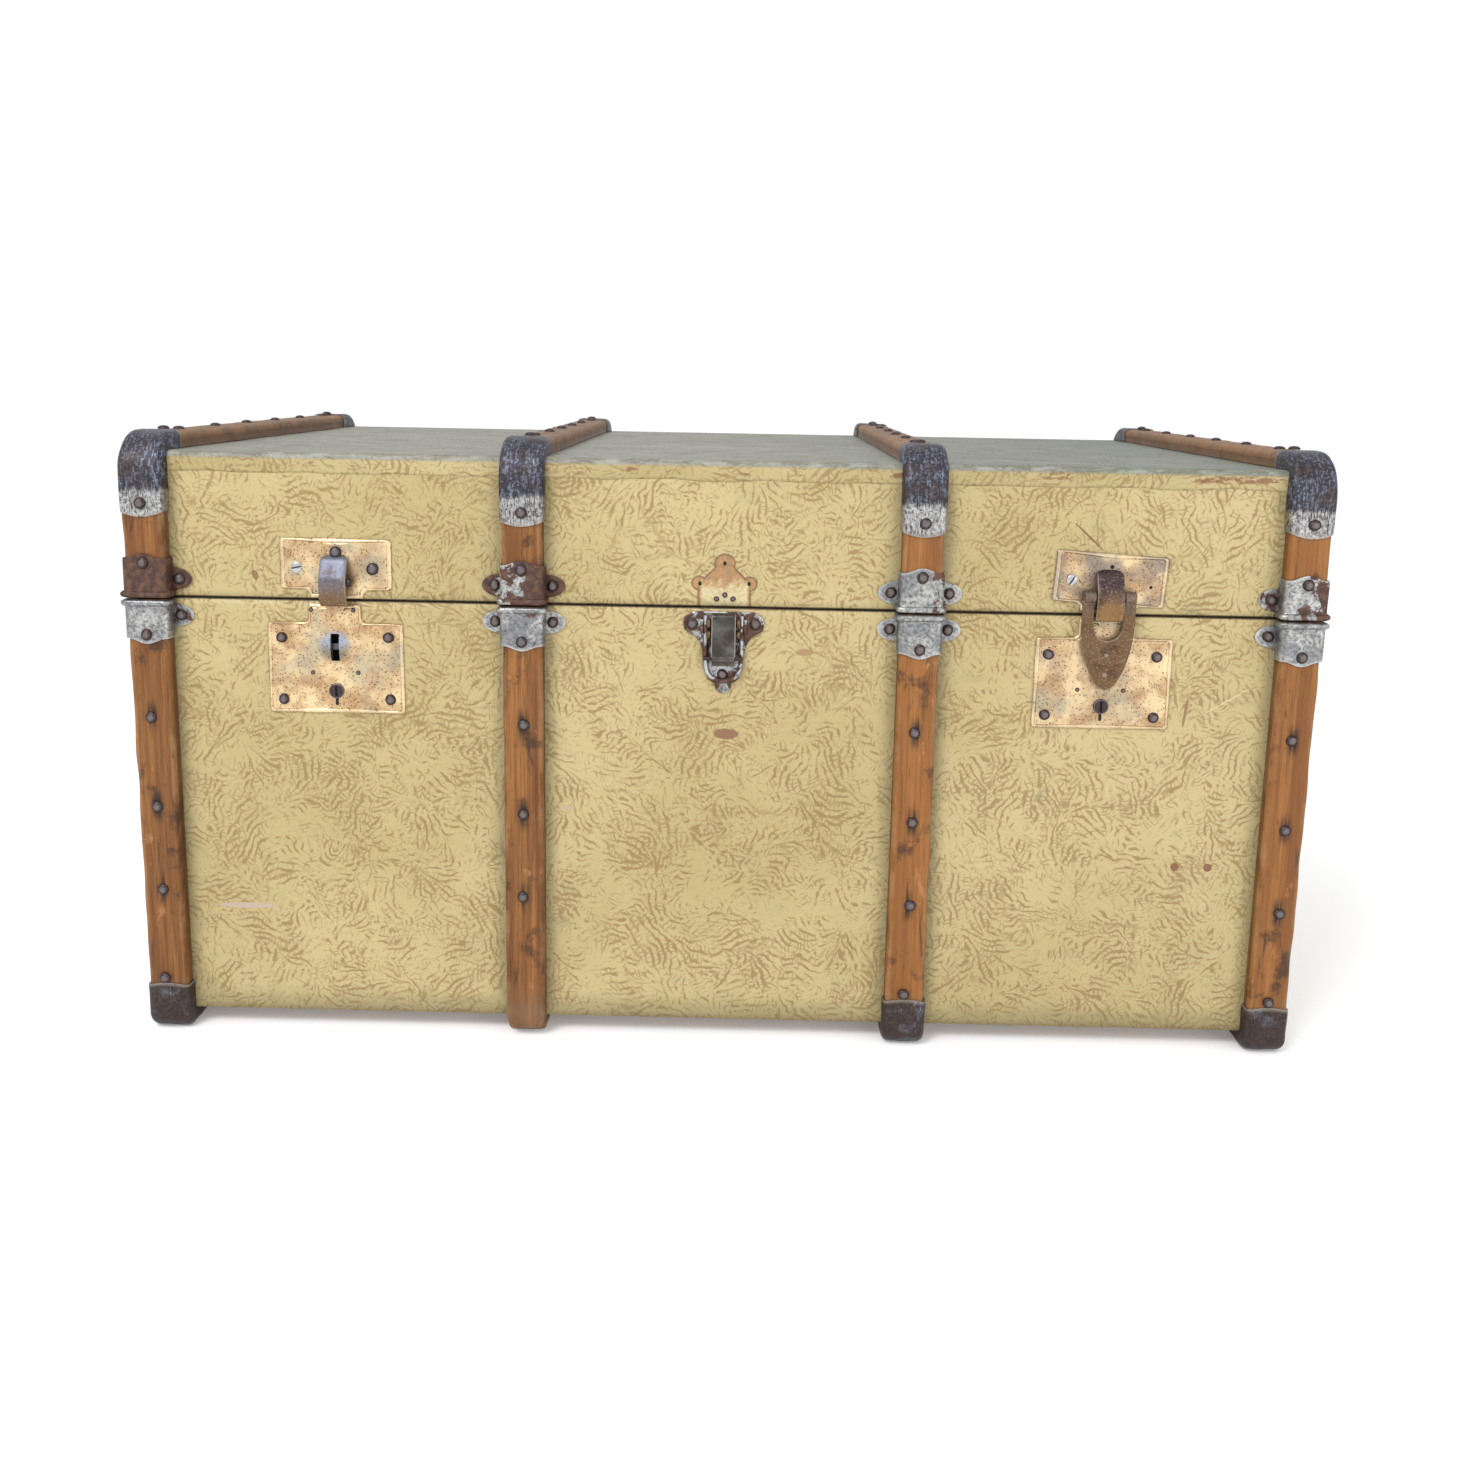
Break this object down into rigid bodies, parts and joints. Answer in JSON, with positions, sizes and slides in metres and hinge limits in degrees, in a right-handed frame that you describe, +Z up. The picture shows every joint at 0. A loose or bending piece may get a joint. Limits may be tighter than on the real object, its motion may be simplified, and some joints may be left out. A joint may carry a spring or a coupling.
{
  "type": "steamer trunk",
  "caption": "Wooden chest covered in leathercloth, with wooden slats, steel corner caps and clamps, hinged lid, two hasp locks, a middle catch and leather end handles.",
  "frame": {"origin": "on the floor, under the middle of the whole trunk", "axes": "+X to the right of someone facing the front, along the length; the front with the locks faces -Y; +Z up"},
  "size_m": [0.9702, 0.5733, 0.4926],
  "materials": {
    "wood_case": "bare pine boards, aged",
    "leathercloth": "cream-yellow leathercloth with a crushed grain, greyer on top, scuffed",
    "slat_wood": "worn orange-brown varnish",
    "rusty_steel": "dark brown rust with worn grey edges",
    "grey_steel": "dull tinned steel with rust patches",
    "worn_brass": "tarnished brass plate with dark speckles and bright edges",
    "bright_steel": "worn steel",
    "leather": "dark brown harness leather"
  },
  "bodies": {
    "chest": {"base_slat_1": "slat_wood", "base_slat_2": "slat_wood", "base_slat_3": "slat_wood", "base_slat_4": "slat_wood", "body_carcass": "wood_case", "body_covering": "leathercloth", "cap_front_bottom_1": "rusty_steel", "cap_front_bottom_3": "rusty_steel", "cap_front_bottom_4": "rusty_steel", "catch_base": "grey_steel", "catch_pin": "grey_steel", "clamp_body_1": "grey_steel", "clamp_body_2": "grey_steel", "clamp_body_3": "grey_steel", "clamp_body_4": "grey_steel", "front_slat_lower_1": "slat_wood", "front_slat_lower_2": "slat_wood", "front_slat_lower_3": "slat_wood", "front_slat_lower_4": "slat_wood", "handle_plate_left": "rusty_steel", "handle_plate_right": "rusty_steel", "hinge_leaf_body_left": "grey_steel", "hinge_leaf_body_right": "grey_steel", "hinge_pin_left": "grey_steel", "hinge_pin_right": "grey_steel", "lock_plate_left": "worn_brass", "lock_plate_right": "worn_brass", "stay_track": "grey_steel"},
    "lid": {"cap_front_top_1": "rusty_steel", "cap_front_top_2": "rusty_steel", "cap_front_top_3": "rusty_steel", "cap_front_top_4": "rusty_steel", "clamp_lid_1": "grey_steel", "clamp_lid_2": "grey_steel", "clamp_lid_3": "grey_steel", "clamp_lid_4": "grey_steel", "front_slat_upper_1": "slat_wood", "front_slat_upper_2": "slat_wood", "front_slat_upper_3": "slat_wood", "front_slat_upper_4": "slat_wood", "hinge_leaf_lid_left": "grey_steel", "hinge_leaf_lid_right": "grey_steel", "lid_carcass": "wood_case", "lid_covering": "leathercloth", "lid_lock_plate_left": "worn_brass", "lid_lock_plate_right": "worn_brass", "stay_bracket": "grey_steel", "top_slat_1": "slat_wood", "top_slat_2": "slat_wood", "top_slat_3": "slat_wood", "top_slat_4": "slat_wood"},
    "hasp": {"hasp": "worn_brass"},
    "stay_arm": {"stay_arm": "grey_steel"},
    "catch_lever": {"catch_lever": "bright_steel"},
    "handle_left": {"handle_left": "leather"},
    "key_left": {"key_plug_left": "worn_brass"},
    "bolt_left": {"lock_bolt_left": "bright_steel"},
    "handle_right": {"handle_right": "leather"},
    "key_right": {"key_plug_right": "worn_brass"},
    "bolt_right": {"lock_bolt_right": "bright_steel"}
  },
  "joints": [
    {"name": "lid_hinge", "type": "hinge", "parent": "chest", "child": "lid", "pos_m": [0, 0.2822, 0.3623], "axis": [-1, 0, 0], "range_deg": [0, 100]},
    {"name": "stay_pivot", "type": "hinge", "parent": "lid", "child": "stay_arm", "pos_m": [0.4545, 0.1702, 0.3763], "axis": [1, 0, 0], "range_deg": [0, 135.5]},
    {"name": "hasp_hinge", "type": "hinge", "parent": "lid", "child": "hasp", "pos_m": [0.302, -0.2785, 0.3773], "axis": [-1, 0, 0], "range_deg": [0, 150]},
    {"name": "catch_lever_hinge", "type": "hinge", "parent": "chest", "child": "catch_lever", "pos_m": [0.0012, -0.2778, 0.3223], "axis": [1, 0, 0], "range_deg": [0, 110]},
    {"name": "key_turn_left", "type": "hinge", "parent": "chest", "child": "key_left", "pos_m": [-0.3075, -0.2703, 0.2888], "axis": [0, -1, 0], "range_deg": [-90, 0]},
    {"name": "key_turn_right", "type": "hinge", "parent": "chest", "child": "key_right", "pos_m": [0.302, -0.2703, 0.2888], "axis": [0, -1, 0], "range_deg": [0, 90]},
    {"name": "bolt_slide_left", "type": "slide", "parent": "chest", "child": "bolt_left", "axis": [1, 0, 0], "range_m": [-0.0086, 0]},
    {"name": "bolt_slide_right", "type": "slide", "parent": "chest", "child": "bolt_right", "axis": [1, 0, 0], "range_m": [0, 0.0086]},
    {"name": "handle_swing_left", "type": "hinge", "parent": "chest", "child": "handle_left", "pos_m": [-0.479, 0, 0.235], "axis": [0, 1, 0], "range_deg": [0, 110]},
    {"name": "handle_swing_right", "type": "hinge", "parent": "chest", "child": "handle_right", "pos_m": [0.479, 0, 0.235], "axis": [0, -1, 0], "range_deg": [0, 110]}
  ],
  "couplings": [
    {"joint": "stay_pivot", "follows": "lid_hinge", "ratio": 1.353},
    {"joint": "bolt_slide_left", "follows": "key_turn_left", "m_per_rad": 0.005411},
    {"joint": "bolt_slide_right", "follows": "key_turn_right", "m_per_rad": 0.005411}
  ]
}
